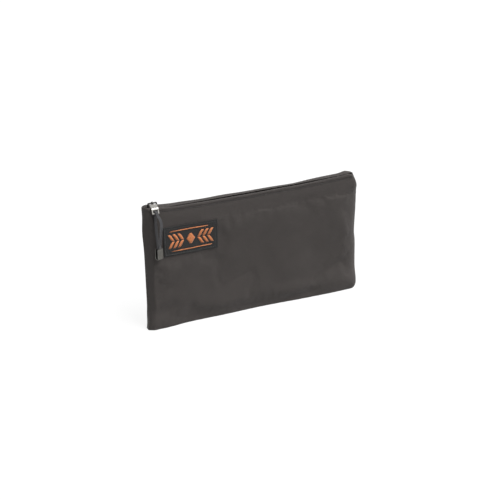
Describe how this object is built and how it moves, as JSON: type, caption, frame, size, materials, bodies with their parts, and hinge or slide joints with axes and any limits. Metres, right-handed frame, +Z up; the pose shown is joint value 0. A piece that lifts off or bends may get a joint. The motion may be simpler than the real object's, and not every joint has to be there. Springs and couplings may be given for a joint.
{
  "type": "zippered tool bag",
  "caption": "Flat padded nylon tool pouch that stands on a narrow foot, closed along its top by a zipper with a bent metal pull tab, strap and clip.",
  "frame": {"origin": "middle of the flat foot that the pouch stands on", "axes": "+X along the pouch from the closed slider's end to the other end, -Y out of the front with the label, +Z up"},
  "size_m": [0.318, 0.0329, 0.19],
  "materials": {
    "black_nylon": "plain-woven nylon, slight sheen",
    "grey_foam": "closed-cell padding",
    "dark_lining": "smooth lining cloth",
    "zipper_tape": "herringbone-woven tape",
    "moulded_teeth": "moulded acetal, satin",
    "dark_metal": "black-oxide die casting, worn at the edges",
    "nickel_plate": "bright nickel plate",
    "black_webbing": "narrow woven strap",
    "gunmetal_clip": "gunmetal sheet, brushed",
    "label_cloth": "stiff woven patch with a stitched border"
  },
  "bodies": {
    "bag": {"front_panel": "black_nylon", "front_foam": "grey_foam", "front_lining": "dark_lining", "front_tape": "zipper_tape", "front_teeth": "moulded_teeth", "front_top_stop": "moulded_teeth", "back_top_stop": "moulded_teeth", "bottom_stop": "moulded_teeth", "label_patch": "label_cloth"},
    "back_wall": {"back_panel": "black_nylon", "back_foam": "grey_foam", "back_lining": "dark_lining", "back_tape": "zipper_tape", "back_teeth": "moulded_teeth"},
    "slider": {"slider_body": "dark_metal", "slider_crown": "dark_metal"},
    "pull_tab": {"pull_tab": "nickel_plate"},
    "pull_strap": {"pull_strap": "black_webbing", "pull_clamp": "gunmetal_clip"}
  },
  "joints": [
    {"name": "slider_travel", "type": "slide", "parent": "bag", "child": "slider", "axis": [1, 0, 0], "range_m": [0, 0.2835], "deforming": ["front_teeth", "back_teeth"]},
    {"name": "mouth_open", "type": "hinge", "parent": "bag", "child": "back_wall", "pos_m": [0, 0.008, 0], "axis": [-1, 0, 0], "range_deg": [0, 15], "stiffness_Nm_per_rad": 0.2},
    {"name": "pull_tab_swing", "type": "hinge", "parent": "slider", "child": "pull_tab", "pos_m": [-0.1445, 0, 0.1881], "axis": [-1, 0, 0], "range_deg": [0, 220]},
    {"name": "strap_swing", "type": "hinge", "parent": "pull_tab", "child": "pull_strap", "pos_m": [-0.1445, -0.01392, 0.1788], "axis": [-1, 0, 0], "range_deg": [0, 130]}
  ]
}
